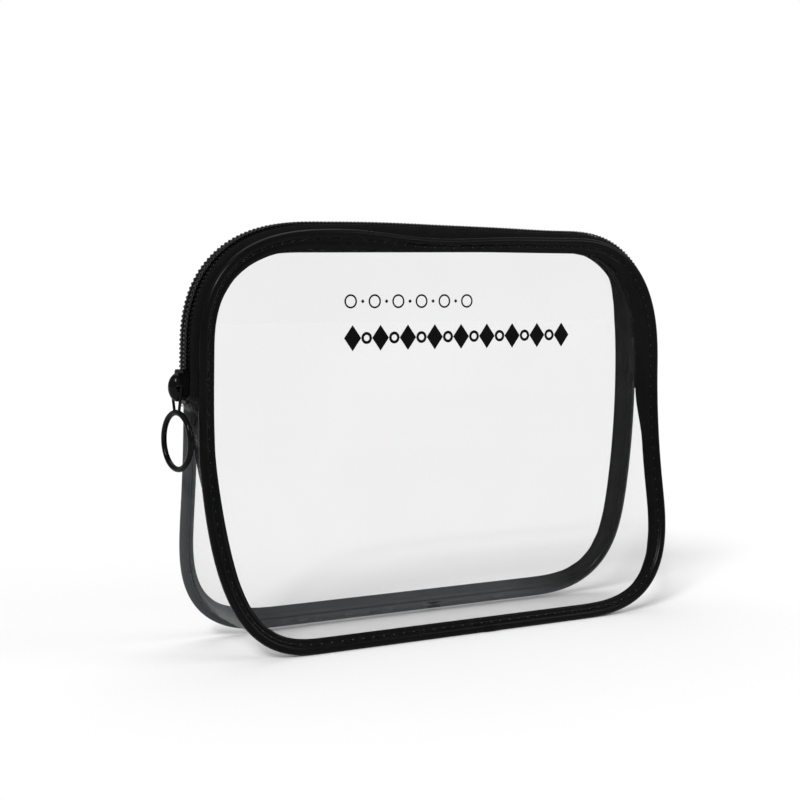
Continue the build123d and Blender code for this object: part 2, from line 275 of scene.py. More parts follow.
def floor_material():
    n = Nodes("pale_floor")
    n.fixed(Roughness=0.9, Specular_IOR_Level=0.0)
    n.feed("Base Color", n.ramp(n.noise(3.0), [(0.0, 0.755), (1.0, 0.775)]))
    return n.material


def clear_vinyl_material():
    """Clear PVC sheet: a faint grey haze, soft handling smudges and a glossy skin."""
    n = Nodes("clear_pvc_sheet")
    n.fixed(Specular_IOR_Level=0.5, IOR=1.53)
    n.feed("Base Color", n.ramp(
        n.noise(9.0, 2.0), [(0.3, (0.07, 0.075, 0.08)), (0.7, (0.13, 0.13, 0.13))]
    ))
    smudge = n.ramp(n.noise(11.0, 4.0), [(0.35, 0.04), (0.7, 0.05)])
    edge = n.math("POWER", n.facing(0.5), 5.0)
    n.feed("Alpha", n.math("ADD", smudge, n.math("MULTIPLY", edge, 0.32)))
    n.feed("Roughness", n.ramp(n.noise(40.0, 5.0), [(0.3, 0.07), (0.75, 0.16)]))
    n.bump(n.noise(30.0, 2.0), 0.2, 0.0004)
    return n.material


def black_vinyl_material(name, painted_haze):
    """Piping's skin: black PVC with a fine grain. Painted haze greys it low down and to the left:
    painted light that stands in for the veil the clear sheets in front lay over it.
    """
    n = Nodes(name)
    n.fixed(Specular_IOR_Level=0.06)
    grain = n.ramp(
        n.noise(60.0, 4.0), [(0.3, (0.001, 0.001, 0.001)), (0.75, (0.0022, 0.0022, 0.0025))]
    )
    place = n.tree.nodes.new("ShaderNodeSeparateXYZ")
    n.link(n.coords.outputs["Object"], place.inputs["Vector"])
    # painted haze: a grey that rises towards the lower left and stands in for light off the clear
    # sheets in front; it is not the skin's own colour
    corner = n.math("ADD", place.outputs["X"], n.math("MULTIPLY", place.outputs["Z"], 1.2))
    painted_haze_mask = n.math("ADD", corner, n.math("MULTIPLY", n.noise(25.0, 4.0), 0.012))
    painted_haze_tone = n.ramp(
        n.math("MULTIPLY", painted_haze_mask, 5.0),
        [(0.36, tuple(0.001 + painted_haze * c for c in (0.93, 0.97, 1.03))), (0.56, 0.0012)],
    )
    mix = n.tree.nodes.new("ShaderNodeMix")
    mix.data_type = "RGBA"
    mix.blend_type = "ADD"
    mix.inputs["Factor"].default_value = 1.0
    n.link(grain, mix.inputs["A"])
    n.link(painted_haze_tone, mix.inputs["B"])
    n.feed("Base Color", mix.outputs["Result"])
    n.feed("Roughness", n.ramp(n.noise(160.0, 5.0), [(0.3, 0.2), (0.7, 0.32)]))
    n.bump(n.noise(900.0, 4.0), 0.12, 0.00006)
    return n.material


def tape_material():
    """Woven zip tape: herringbone ribs across the width, from the strip's own UV map."""
    n = Nodes("black_woven_tape")
    n.fixed(Specular_IOR_Level=0.04)
    along, across = n.uv()
    zigzag = n.math("PINGPONG", across, 0.8)
    rib = n.math("SINE", n.math("MULTIPLY", n.math("ADD", along, zigzag), 2 * math.pi / 0.85))
    warp = n.math("SINE", n.math("MULTIPLY", across, 2 * math.pi / 0.4))
    weave = n.math("ADD", rib, n.math("MULTIPLY", warp, 0.4))
    shade = n.math("MULTIPLY_ADD", weave, 0.35)
    n.feed("Base Color", n.ramp(shade, [(0.0, 0.001), (0.8, (0.008, 0.008, 0.009))]))
    n.feed("Roughness", n.ramp(n.noise(300.0), [(0.3, 0.5), (0.7, 0.75)]))
    n.bump(weave, 0.7, 0.00012)
    return n.material


def coil_material():
    """Nylon filament: smooth and dark, so it glints."""
    n = Nodes("black_nylon_coil")
    n.fixed(Specular_IOR_Level=0.1)
    n.feed("Base Color", n.ramp(n.noise(500.0), [(0.3, 0.0008), (0.7, 0.002)]))
    n.feed("Roughness", n.ramp(n.noise(900.0), [(0.3, 0.08), (0.7, 0.14)]))
    n.bump(n.noise(1500.0), 0.15, 0.00005)
    return n.material


def enamel_material(name, gloss, coat):
    """Black enamel on die-cast metal, its tone and gloss varying a little at random."""
    n = Nodes(name)
    n.fixed(Specular_IOR_Level=gloss, Coat_Weight=coat, Coat_Roughness=0.04)
    n.feed("Base Color", n.ramp(
        n.noise(120.0, 5.0), [(0.3, (0.0015, 0.0015, 0.0016)), (0.8, (0.004, 0.004, 0.0045))]
    ))
    n.feed("Roughness", n.ramp(n.noise(260.0, 4.0), [(0.3, 0.1), (0.75, 0.2)]))
    n.bump(n.noise(420.0, 2.0), 0.12, 0.0001)
    return n.material


def spring_material():
    n = Nodes("spring_steel")
    n.fixed(Metallic=1.0)
    n.feed("Base Color", n.ramp(n.noise(300.0), [(0.3, 0.35), (0.7, 0.55)]))
    n.feed("Roughness", n.ramp(n.noise(700.0), [(0.3, 0.22), (0.7, 0.4)]))
    n.bump(n.noise(1200.0), 0.2, 0.00003)
    return n.material


def thread_material():
    """Polyester thread: fine twist that catches the light."""
    n = Nodes("black_sewing_thread")
    n.fixed(Specular_IOR_Level=0.15)
    wave = n.tree.nodes.new("ShaderNodeTexWave")
    wave.inputs["Scale"].default_value = 900.0
    wave.inputs["Distortion"].default_value = 2.0
    n.link(n.coords.outputs["Object"], wave.inputs["Vector"])
    n.feed("Base Color", n.ramp(wave.outputs["Fac"], [(0.0, 0.006), (1.0, 0.045)]))
    n.feed("Roughness", n.ramp(n.noise(800.0), [(0.3, 0.3), (0.7, 0.5)]))
    n.bump(wave.outputs["Fac"], 0.5, 0.00008)
    return n.material


def filler_material():
    n = Nodes("twisted_filler_cord")
    wave = n.tree.nodes.new("ShaderNodeTexWave")
    wave.bands_direction = "DIAGONAL"
    wave.inputs["Scale"].default_value = 500.0
    n.link(n.coords.outputs["Object"], wave.inputs["Vector"])
    n.feed("Base Color", n.ramp(wave.outputs["Fac"], [(0.0, 0.35), (1.0, 0.6)]))
    n.feed("Roughness", n.ramp(n.noise(400.0), [(0.3, 0.7), (0.7, 0.9)]))
    n.bump(wave.outputs["Fac"], 0.6, 0.0002)
    return n.material


def ink_material():
    n = Nodes("black_print_ink")
    n.fixed(Specular_IOR_Level=0.05)
    n.feed("Base Color", n.ramp(n.noise(200.0, 4.0), [(0.3, 0.001), (0.8, 0.003)]))
    n.feed("Roughness", n.ramp(n.noise(350.0), [(0.3, 0.4), (0.7, 0.6)]))
    n.bump(n.noise(900.0), 0.1, 0.00003)
    return n.material


# ---- mesh helpers --------------------------------------------------------------------

def deselect():
    if bpy.context.mode != "OBJECT":
        bpy.ops.object.mode_set(mode="OBJECT")
    bpy.ops.object.select_all(action="DESELECT")


def pick(piece):
    deselect()
    piece.select_set(True)
    bpy.context.view_layer.objects.active = piece


def add_modifier(piece, kind, **settings):
    """Adds a modifier to a piece and applies it."""
    pick(piece)
    modifier = piece.modifiers.new(kind.lower(), kind)
    for name, value in settings.items():
        setattr(modifier, name, value)
    bpy.ops.object.modifier_apply(modifier=modifier.name)


def smooth(piece, degrees=40.0):
    pick(piece)
    bpy.ops.object.shade_smooth_by_angle(angle=math.radians(degrees))


def piece_from(name, points, faces, uvs=None):
    """New piece from points in millimetres about the bag's middle."""
    mesh = bpy.data.meshes.new(name)
    placed = (np.asarray(points, float) + (MIDDLE_X, 0.0, 0.0)) * MM
    mesh.from_pydata([tuple(p) for p in placed], [], faces)
    if uvs is not None:
        layer = mesh.uv_layers.new(name="UVMap")
        for loop in mesh.loops:
            layer.data[loop.index].uv = uvs[loop.vertex_index]
    mesh.update()
    piece = bpy.data.objects.new(name, mesh)
    bpy.context.scene.collection.objects.link(piece)
    return piece


def grid_faces(rows, columns, close_rows=False, close_columns=False):
    """Quads over a grid of points, wrapped round where it closes on itself."""
    faces = []
    for i in range(rows if close_rows else rows - 1):
        for j in range(columns if close_columns else columns - 1):
            a = i * columns + j
            b = i * columns + (j + 1) % columns
            c = ((i + 1) % rows) * columns + (j + 1) % columns
            d = ((i + 1) % rows) * columns + j
            faces.append((a, b, c, d))
    return faces


def face_outwards(piece):
    """Closed shells are turned to face outwards."""
    mesh = bmesh.new()
    mesh.from_mesh(piece.data)
    bmesh.ops.recalc_face_normals(mesh, faces=mesh.faces)
    mesh.to_mesh(piece.data)
    mesh.free()


def swept(name, points, closed, uvs=None):
    """Skin over sections: points[station][corner]. Sections are closed, and open runs get ends."""
    stations, corners = points.shape[:2]
    faces = grid_faces(stations, corners, close_rows=closed, close_columns=True)
    if not closed:
        faces.append(tuple(range(corners)))
        faces.append(tuple(reversed(range((stations - 1) * corners, stations * corners))))
    piece = piece_from(name, points.reshape(-1, 3), faces, uvs)
    face_outwards(piece)
    return piece


def join(name, parts):
    """Joins finished parts into one piece."""
    pick(parts[0])
    for part in parts[1:]:
        part.select_set(True)
    bpy.ops.object.join()
    parts[0].name = name
    parts[0].data.name = name
    return parts[0]


def dress(piece, material):
    piece.data.materials.clear()
    piece.data.materials.append(material)


# ---- the bag's shape -----------------------------------------------------------------

def ease(value, low, high):
    t = np.clip((np.asarray(value, float) - low) / (high - low), 0.0, 1.0)
    return t * t * (3 - 2 * t)


def hump(value, middle, width):
    return np.exp(-(((np.asarray(value, float) - middle) / width) ** 2))


def half_depth(z):
    """Half of the bag's depth at a height, on the walls' middle line."""
    z = np.asarray(z, float)
    lean = BASE_HALF_DEPTH - math.tan(LEAN) * (z - BASE_Z)
    rise = np.clip(BEND_TOP_Z - z, 0.0, BEND_R)
    bend = TOP_HALF_DEPTH + BEND_R - np.sqrt(BEND_R**2 - rise**2)
    return np.where(z < LEAN_TOP_Z, lean, bend)


def rounded_corner(side, level, reach, power, rising):
    """One corner of the loop, from its level end to its upright end, or back if rising is false."""
    turn = np.linspace(0.0, math.pi / 2, 300)
    if not rising:
        turn = turn[::-1]
    reach_x, reach_z = reach
    x = side * (HALF_WIDTH - reach_x + reach_x * np.sin(turn) ** (2 / power))
    rim = TOP_Z if level > 0 else BASE_Z
    z = rim - level * reach_z * (1 - np.cos(turn) ** (2 / power))
    return np.stack([x, z], axis=1)


def make_loop(low_left, low_right, lift):
    """Piping's loop seen from the front: left from the base's middle, over the top, and back.

    Lift raises the base, where the sheet pulls it off the floor.
    """
    run = np.concatenate([
        [(0.0, BASE_Z)],
        rounded_corner(-1, -1, *low_left, True),
        rounded_corner(-1, 1, (53.8, 48.0), 2.46, False),
        rounded_corner(1, 1, (50.4, 59.4), 2.53, True),
        rounded_corner(1, -1, *low_right, False),
        [(0.0, BASE_Z)],
    ])
    run[:, 0] -= LEFT_BULGE * hump(run[:, 1], LEFT_BULGE_Z, LEFT_BULGE_WIDTH) * (run[:, 0] < 0)
    run[:, 1] += lift * (1 - ease(run[:, 1], 2, 40))
    steps = np.hypot(*np.diff(run, axis=0).T)
    keep = np.concatenate([[True], steps > 1e-6])
    run = run[keep]
    length = np.concatenate([[0.0], np.cumsum(np.hypot(*np.diff(run, axis=0).T))])
    even = np.linspace(0.0, length[-1], int(length[-1] / 0.5) + 1)
    x = np.interp(even, length, run[:, 0])
    z = np.interp(even, length, run[:, 1])
    for _ in range(12):
        x[:-1] = (np.roll(x[:-1], 1) + x[:-1] + np.roll(x[:-1], -1)) / 3
        z[:-1] = (np.roll(z[:-1], 1) + z[:-1] + np.roll(z[:-1], -1)) / 3
        x[-1], z[-1] = x[0], z[0]
    gap = even[1]
    along_x = (np.roll(x[:-1], -1) - np.roll(x[:-1], 1)) / (2 * gap)
    along_z = (np.roll(z[:-1], -1) - np.roll(z[:-1], 1)) / (2 * gap)
    size = np.hypot(along_x, along_z)
    out_x = np.append(-along_z / size, -along_z[0] / size[0])
    out_z = np.append(along_x / size, along_x[0] / size[0])
    return even, x, z, out_x, out_z


FRONT_LOOP = make_loop(((48.0, 84.0), 2.95), ((58.0, 60.0), 2.9), 0.0)
BACK_LOOP = make_loop(((50.0, 56.0), 2.9), ((52.0, 54.0), 2.95), BACK_LIFT)
AROUND = FRONT_LOOP[0][-1]


def on_loop(s, back=False):
    """Place and outward direction on a loop at distances s along the front one."""
    lengths, *lines = BACK_LOOP if back else FRONT_LOOP
    share = np.mod(np.asarray(s, float), AROUND) / AROUND
    return [np.interp(share * lengths[-1], lengths, line) for line in lines]


def climb(z, side):
    """Distance along the front loop at which it passes a height on its left or right side."""
    lengths, x, heights = FRONT_LOOP[:3]
    on_side = x * side > 60
    nearest = np.argmin(np.abs(heights[on_side] - z))
    return float(lengths[on_side][nearest])


def front_settle(x, z):
    """How far the front wall's rim has crept up or down."""
    wave = 1.4 * hump(x, -52, 24) - 1.9 * hump(x, -3, 30) - 0.5 * hump(x, 56, 30)
    return wave * ease(z, 130, 172)


def zip_settle(x, z):
    """How far the zip has crept up or down over the top."""
    return (0.8 * hump(x, -35, 35) - 1.0 * hump(x, 65, 30)) * ease(z, 130, 172)


def wall_frame(s, back=False):
    """Centre, in-wall outward direction and facing direction of a wall along its loop."""
    x, z, out_x, out_z = on_loop(s, back)
    depth = half_depth(z)
    slope = half_depth(z + 0.5) - half_depth(z - 0.5)
    size = np.sqrt(1 + slope**2)
    zero = np.zeros_like(x)
    centre = np.stack([x, -depth, z], axis=-1)
    outward = np.stack([out_x, -out_z * slope / size, out_z / size], axis=-1)
    facing = np.stack([zero, -1 / size, -slope / size], axis=-1)
    if back:
        return mirrored(centre), mirrored(outward), mirrored(facing)
    return centre, outward, facing


def mirrored(points):
    """The same points on the back of the bag."""
    return points * (1.0, -1.0, 1.0)


def along_wall(s, section, settle, flange=None, back=False):
    """Section points (out, proud) set round a wall's rim at each distance s."""
    centre, outward, facing = wall_frame(s, back)
    section = np.broadcast_to(section, (len(centre), *np.shape(section)[-2:]))
    points = (
        centre[:, None, :]
        + section[..., 0, None] * outward[:, None, :]
        + section[..., 1, None] * facing[:, None, :]
    )
    share = 1.0
    if flange is not None:
        share = np.clip(1 + section[..., 0] / flange[:, None], 0.0, 1.0)
    points[..., 2] += settle(points[..., 0], points[..., 2]) * share
    return points


def flange_width(s, widths):
    """Width of the sewn flange on each side of the loop, blended round the corners."""
    x, z, out_x, out_z = on_loop(s)
    left = np.minimum(out_x, 0) ** 2
    right = np.maximum(out_x, 0) ** 2
    top = np.maximum(out_z, 0) ** 2
    base = np.minimum(out_z, 0) ** 2
    corner = 4 * out_x**2 * top * np.where(x > 0, 1.0, 0.35)
    return (
        left * (widths["left"] + widths["low"] * hump(z, 45, 34))
        + right * (widths["right"] + widths["high"] * ease(z, 80, 106))
        + top * (widths["top"] - widths["slope"] * x / 100)
        + base * widths["base"]
        - corner * widths["corner"]
    )


def dish(inset, depth):
    """How far a wall stands proud of its rim's middle line, at an inset from it."""
    return depth * ease(inset, 1.5, 9.0)


def ring_section(radius, sides):
    angles = np.arange(sides) * 2 * math.pi / sides
    return np.stack([radius * np.cos(angles), radius * np.sin(angles)], axis=1)


# ---- clear sheets --------------------------------------------------------------------

def wall_sheet(name, settle, depth, dent, side):
    """One clear wall, cut to the loop, with a slight hand-made waviness."""
    rows = 96
    columns = 84
    inset = 1.0
    lengths, loop_x, loop_z = (FRONT_LOOP if side < 0 else BACK_LOOP)[:3]
    half = len(lengths) // 2
    heights = BASE_Z + inset + (TOP_Z - BASE_Z - 2 * inset) * (
        0.5 - 0.5 * np.cos(np.linspace(0, math.pi, rows))
    )
    left = np.interp(heights, loop_z[:half], loop_x[:half])
    right = np.interp(heights, loop_z[half:][::-1], loop_x[half:][::-1])
    share = np.linspace(0.0, 1.0, columns)
    x = (left + inset)[:, None] + (right - left - 2 * inset)[:, None] * share[None, :]
    z = np.repeat(heights[:, None], columns, axis=1)
    rim = np.minimum.reduce([x - left[:, None], right[:, None] - x, z - BASE_Z, TOP_Z - z])
    give = ease(rim, 4.0, 30.0)
    y = -half_depth(z) - dish(rim, depth) - dent * give * (
        np.sin(x / 31.0 + 0.7) * np.sin(z / 23.0 + 0.4) + 0.5 * np.sin(x / 13.0 - z / 17.0)
    )
    z = z + settle(x, z) * (1 - ease(rim, 0.0, 40.0))
    points = np.stack([x, y, z], axis=-1)
    if side > 0:
        points = mirrored(points)
    uvs = np.stack([x, z], axis=-1).reshape(-1, 2) * MM
    faces = grid_faces(rows, columns)
    if side < 0:
        faces = [tuple(reversed(face)) for face in faces]
    piece = piece_from(name, points.reshape(-1, 3), faces, uvs)
    add_modifier(piece, "SOLIDIFY", thickness=SHEET * MM, offset=0.0)
    smooth(piece)
    return piece


def tape_level(y):
    """How far out the zip tapes lie at a depth."""
    return np.interp(np.abs(y), [0.0, 4.9, 5.4, 6.4, 7.2], [4.05, 4.05, 3.7, 0.9, 0.35])


def gusset_level(y, z, side):
    """How far out the clear gusset lies: under the piping, and lapped over the zip's ends."""
    end = ZIP_LEFT_Z if side < 0 else ZIP_RIGHT_Z
    lift = ease(z, end - 9.0, end - 1.5)
    return (1 - lift) * -0.4 + lift * (tape_level(y) + 0.55)


def gusset_creases(y, z):
    """Folds where the stiff sheet is pulled together at the left end of the zip."""
    near = ease(z, 74.0, 101.0)
    folds = 0.55 * np.sin(z / 2.3 + y / 4.5) * hump(y, -2, 9)
    bulge = 1.1 * hump(z - 0.5 * y, 93, 5.0) - 0.8 * hump(z + 0.4 * y, 86, 6.0)
    return near * (folds + bulge * hump(y, 0, 12))


def clear_gusset():
    """Clear strip under the base and up both sides to the zip's ends."""
    low = climb(ZIP_RIGHT_Z + 1.2, 1) - AROUND
    high = climb(ZIP_LEFT_Z + 1.2, -1)
    stations = np.concatenate([
        np.linspace(low, high - 45, 300), np.linspace(high - 44.5, high, 90)
    ])
    across = np.linspace(-1.0, 1.0, 45)
    share = (across[None, :] + 1) / 2
    front = [line[:, None] for line in on_loop(stations)]
    rear = [line[:, None] for line in on_loop(stations, back=True)]
    x, z, out_x, out_z = [a * (1 - share) + b * share for a, b in zip(front, rear)]
    y = across[None, :] * (half_depth(z) - 1.5)
    out = np.where(x < 0, gusset_level(y, z, -1), gusset_level(y, z, 1))
    out = out + np.where(x < 0, gusset_creases(y, z) * (1 - across**4), 0.0)
    sag = 0.5 * (1 - across**2) * np.sin(stations / 19.0)[:, None]
    out = out + np.where(z > 12, sag, 0.0)
    points = np.stack([x + out_x * out, y, z + out_z * out], axis=-1)
    points[..., 2] = np.maximum(points[..., 2], 0.5)
    uvs = np.stack([
        np.repeat(stations[:, None], len(across), axis=1), y
    ], axis=-1).reshape(-1, 2) * MM
    piece = piece_from(
        "clear_gusset", points.reshape(-1, 3), grid_faces(len(stations), len(across)), uvs
    )
    add_modifier(piece, "SOLIDIFY", thickness=SHEET * MM, offset=0.0)
    smooth(piece)
    length = (high - low) * MM
    return piece, length


# ---- piping --------------------------------------------------------------------------

def piping_section(flange, leaf):
    """Outside of the bead and its two sewn flanges, which dip in a groove by the stitches.

    The first flange lies on the wall, the other, leaf wide, on the gusset's inner face.
    """
    first = np.radians(np.linspace(158.0, -62.0, 16))
    second = np.radians(np.linspace(-112.0, -174.0, 6))
    bead = [(BEAD_R * math.cos(a), BEAD_R * math.sin(a)) for a in first]
    tip = len(bead) + 1
    bead += [(-0.72, -2.3), (-0.72, 0.2), (-0.95, 0.0), (-1.2, 0.2), (-1.2, -2.4)]
    bead += [(BEAD_R * math.cos(a), BEAD_R * math.sin(a)) for a in second]
    edge = len(bead)
    sewn = [
        (0.0, 0.24), (-0.12, 0.5), (0.15, 0.78),
        (-4.0, 0.82), (-3.5, 0.74), (-3.0, 0.5), (-2.6, 0.45), (-2.2, 0.62),
    ]
    section = np.repeat(np.array(bead + sewn)[None], len(flange), axis=0)
    section[:, tip:tip + 3, 1] -= leaf[:, None]
    section[:, edge:edge + 3, 0] -= flange[:, None]
    section[:, edge + 3, 0] = np.maximum(section[:, edge + 3, 0], 0.6 - flange)
    return section


def puckers(s, inset):
    """Small ripples in the flange where it is eased round the corners."""
    out_x, out_z = on_loop(s)[2:]
    corner = (2 * np.abs(out_x * out_z)) ** 1.5
    ripple = np.sin(s / 1.9) * 0.6 + np.sin(s / 3.1 + 1.0) * 0.4
    reach = np.clip((inset - 3.2) / 2.0, 0.0, 1.0)
    return 0.22 * (corner * ripple)[:, None] * reach


def leaf_width(s, back):
    """Width of the leaf sewn to the gusset, broadest below the left end of the zip."""
    x, z = on_loop(s)[:2]
    if back:
        return np.full_like(z, LEAF)
    return LEAF + BROAD_LEAF * ease(z, 52, 92) * (1 - ease(z, 106, 112)) * (x < 0)


def piping(name, widths, depth, settle, back):
    """Bead, sleeve bore and flanges round one wall."""
    s = np.linspace(0.0, AROUND, 620, endpoint=False)
    flange = flange_width(s, widths)
    section = piping_section(flange, leaf_width(s, back))
    inset = -section[..., 0]
    on_wall = (inset > BEAD_R) & (section[..., 1] > -1.0)
    if back:
        section[..., 1] -= np.where(on_wall, BACK_FLANGE_SINK, 0.0)
    section[..., 1] += np.where(on_wall, dish(inset, depth) + puckers(s, inset), 0.0)
    skin = along_wall(s, section, settle, flange, back)
    bore = along_wall(s, ring_section(BORE_R, 12), settle, back=back)
    skin[..., 2] = np.maximum(skin[..., 2], 0.0)
    outside = swept(name, skin, closed=True)
    inside = swept(name + "_bore", bore, closed=True)
    inside.data.flip_normals()
    piece = join(name, [outside, inside])
    smooth(piece, 50)
    return piece


def filler_cord(name, settle, back):
    s = np.linspace(0.0, AROUND, 500, endpoint=False)
    points = along_wall(s, ring_section(CORD_R, 10), settle, back=back)
    piece = swept(name, points, closed=True)
    smooth(piece, 60)
    return piece


def piping_lap(name, side):
    """End of the piping's skin lapped over its other end under the base."""
    spots = np.linspace(0.0, 1.0, 12)
    x = LAP_START_X + LAP_LENGTH * spots
    thick = 0.34 * (1 - ease(spots, 0.55, 1.0)) * ease(spots, -0.08, 0.06) + 0.05
    angles = np.radians(np.linspace(62.0, 300.0, 20))
    rings = []
    for place, rise in zip(x, thick):
        outer = BEAD_R + rise
        inner = BEAD_R - 0.1
        arc = [(outer * math.sin(a), outer * math.cos(a)) for a in angles]
        arc += [(inner * math.sin(a), inner * math.cos(a)) for a in angles[::-1]]
        rings.append([(place, -BASE_HALF_DEPTH - across, BASE_Z + up) for across, up in arc])
    points = np.array(rings)
    points[..., 2] = np.maximum(points[..., 2], -0.0)
    if side > 0:
        points[..., 2] += BACK_LIFT
        points = mirrored(points)
    piece = swept(name, points, closed=False)
    smooth(piece, 45)
    return piece


# ---- zip -----------------------------------------------------------------------------

def zip_point(s, out, y, settle_share=0.0):
    """Points of the zip at distances s, at a distance out of the loop and a depth."""
    x, z, out_x, out_z = on_loop(s)
    place_x = x + out_x * out
    place_z = z + out_z * out
    place_z = place_z + (
        zip_settle(place_x, place_z) * (1 - settle_share)
        + front_settle(place_x, place_z) * settle_share
    )
    return np.stack(np.broadcast_arrays(place_x, y, place_z), axis=-1)


def zip_tape(name, side, low, high):
    """Woven strip beside the chain, turned down to the piping at its outer edge."""
    across = np.array([0.12, 1.4, 2.4, 3.2, 4.0, 4.7, 5.1, 5.4, 5.7, 6.0, 6.3, 6.6, 6.9])
    s = np.linspace(low, high, int((high - low) / 1.2))
    columns = []
    for y in across:
        rim = 0.35 * math.exp(-(((y - 5.15) / 0.28) ** 2))
        level = float(tape_level(y)) + rim
        share = float(ease(y, 5.0, 6.9)) if side < 0 else 0.0
        columns.append(zip_point(s, level, side * y, share))
    points = np.stack(columns, axis=1)
    distance = np.concatenate([[0.0], np.cumsum(np.hypot(
        np.diff(across), np.diff(tape_level(across))
    ))])
    uvs = np.stack(np.broadcast_arrays(s[:, None], distance[None, :]), axis=-1).reshape(-1, 2)
    faces = grid_faces(len(s), len(across))
    if side > 0:
        faces = [tuple(reversed(face)) for face in faces]
    piece = piece_from(name, points.reshape(-1, 3), faces, uvs)
    add_modifier(piece, "SOLIDIFY", thickness=TAPE_THICK * MM, offset=0.0)
    smooth(piece, 50)
    return piece


def tape_tail(name, side, depth_side, z_low, z_high):
    """Cut end of a tape, which runs on under the clear gusset and tapers away."""
    s_low = climb(z_low, side)
    s_high = climb(z_high, side)
    s = np.linspace(s_low, s_high, 24)
    x, z, out_x, out_z = on_loop(s)
    rise = ease(z, z_high - 8.5, z_high - 0.5)
    taper = ease(z, z_low - 1.0, z_low + 12.0)
    share = np.linspace(0.0, 1.0, 9)
    y = 3.6 + (share[None, :] - 0.46) * (0.5 + 5.9 * taper[:, None])
    level = (1 - rise)[:, None] * -1.25 + rise[:, None] * tape_level(y)
    points = np.stack([
        x[:, None] + out_x[:, None] * level,
        depth_side * y,
        z[:, None] + out_z[:, None] * level,
    ], axis=-1)
    uvs = np.stack(np.broadcast_arrays(s[:, None], y), axis=-1).reshape(-1, 2)
    piece = piece_from(name, points.reshape(-1, 3), grid_faces(len(s), len(share)), uvs)
    add_modifier(piece, "SOLIDIFY", thickness=TAPE_THICK * MM, offset=0.0)
    face_outwards(piece)
    smooth(piece, 50)
    return piece


def coil_loop():
    """One loop of the nylon coil: a ring drawn out across the zip, with a fuller head."""
    deselect()
    bpy.ops.mesh.primitive_torus_add(
        major_segments=12, minor_segments=6, major_radius=1.0, minor_radius=0.4
    )
    loop = bpy.context.active_object
    loop.name = "coil_loop"
    bpy.ops.object.mode_set(mode="EDIT")
    bpy.ops.mesh.select_all(action="SELECT")
    bpy.ops.transform.resize(value=(1.4, 0.64, 1.6), center_override=(0, 0, 0))
    bpy.ops.mesh.select_all(action="DESELECT")
    bpy.ops.object.mode_set(mode="OBJECT")
    for vertex in loop.data.vertices:
        if vertex.co.x > 1.0:
            vertex.co.z *= 1.2
    bpy.ops.object.mode_set(mode="EDIT")
    bpy.ops.mesh.select_all(action="SELECT")
    bpy.ops.mesh.normals_make_consistent(inside=False)
    bpy.ops.object.mode_set(mode="OBJECT")
    return loop


def coil(name, pattern, side, low, high):
    """Copies of the loop set along one tape, half a pitch on from those of the other."""
    count = int((high - low) / PITCH)
    offset = 0.25 if side < 0 else 0.75
    s = low + (np.arange(count) + offset) * PITCH
    seat = zip_point(s, COIL_OUT, side * (COIL_REACH / 2 - 0.22))
    out_x, out_z = on_loop(s)[2:]
    mesh = bmesh.new()
    template = pattern.data.copy()
    for spot, nx, nz in zip(seat, out_x, out_z):
        across = Vector((0.0, -side, 0.0))
        outward = Vector((nx, 0.0, nz))
        along = across.cross(outward)
        turn = Matrix((across, outward, along)).transposed().to_4x4()
        slant = Matrix.Rotation(math.radians(7.0), 4, "Y")
        place = Matrix.Translation((Vector(spot) + Vector((MIDDLE_X, 0, 0))) * MM)
        scaled = place @ turn @ slant @ Matrix.Scale(MM, 4)
        template.transform(scaled)
        mesh.from_mesh(template)
        template.transform(scaled.inverted())
    bpy.data.meshes.remove(template)
    data = bpy.data.meshes.new(name)
    mesh.to_mesh(data)
    mesh.free()
    piece = bpy.data.objects.new(name, data)
    bpy.context.scene.collection.objects.link(piece)
    smooth(piece, 70)
    return piece


def coil_stitching(name, side, low, high):
    """Thread rows that hold the coil to its tape, dipping between the loops."""
    rows = []
    for row, y in enumerate((2.0, 2.9)):
        count = int((high - low) / PITCH)
        s = low + np.arange(count * 5) * PITCH / 5
        phase = 2 * math.pi * (s - low) / PITCH - (0.5 if side < 0 else 1.5) * math.pi
        out = 5.82 + 0.34 * np.cos(phase)
        angles = np.arange(4) * math.pi / 2 + math.pi / 4
        ring = [
            zip_point(s, out + 0.17 * math.sin(a), side * (y + 0.17 * math.cos(a)))
            for a in angles
        ]
        rows.append(swept(f"{name}_{row}", np.stack(ring, axis=1), closed=False))
    piece = join(name, rows)
    smooth(piece, 80)
    return piece


# ---- slider and pull -----------------------------------------------------------------

def slider_dome():
    """Oval domed cap, with a slot across it for the pull and a pocket for the spring."""
    deselect()
    base_x = MIDDLE_X - HALF_WIDTH
    bpy.ops.mesh.primitive_uv_sphere_add(segments=40, ring_count=24, radius=MM)
    dome = bpy.context.active_object
    dome.name = "slider_dome"
    bpy.ops.object.mode_set(mode="EDIT")
    bpy.ops.mesh.select_all(action="SELECT")
    bpy.ops.transform.resize(value=DOME_RADII, center_override=(0, 0, 0))
    bpy.ops.transform.translate(value=((base_x - DOME_OUT) * MM, 0.0, (PIVOT_Z + DOME_RISE) * MM))
    bpy.ops.mesh.bisect(
        plane_co=((base_x - PLATE_TOP) * MM, 0.0, 0.0), plane_no=(1.0, 0.0, 0.0),
        use_fill=True, clear_outer=True, threshold=1e-6,
    )
    bpy.ops.object.mode_set(mode="OBJECT")
    slot = (base_x - SLOT_OUT, PIVOT_Z, SLOT_SIZE)
    pocket = (base_x - POCKET_OUT, SLIDER_Z + POCKET_RISE, POCKET_SIZE)
    for x, z, size in (slot, pocket):
        deselect()
        bpy.ops.mesh.primitive_cube_add(
            size=MM, location=(x * MM, 0.0, z * MM), scale=size
        )
        cutter = bpy.context.active_object
        add_modifier(dome, "BOOLEAN", object=cutter, operation="DIFFERENCE", solver="EXACT")
        bpy.data.objects.remove(cutter)
    face_outwards(dome)
    smooth(dome, 40)
    return dome


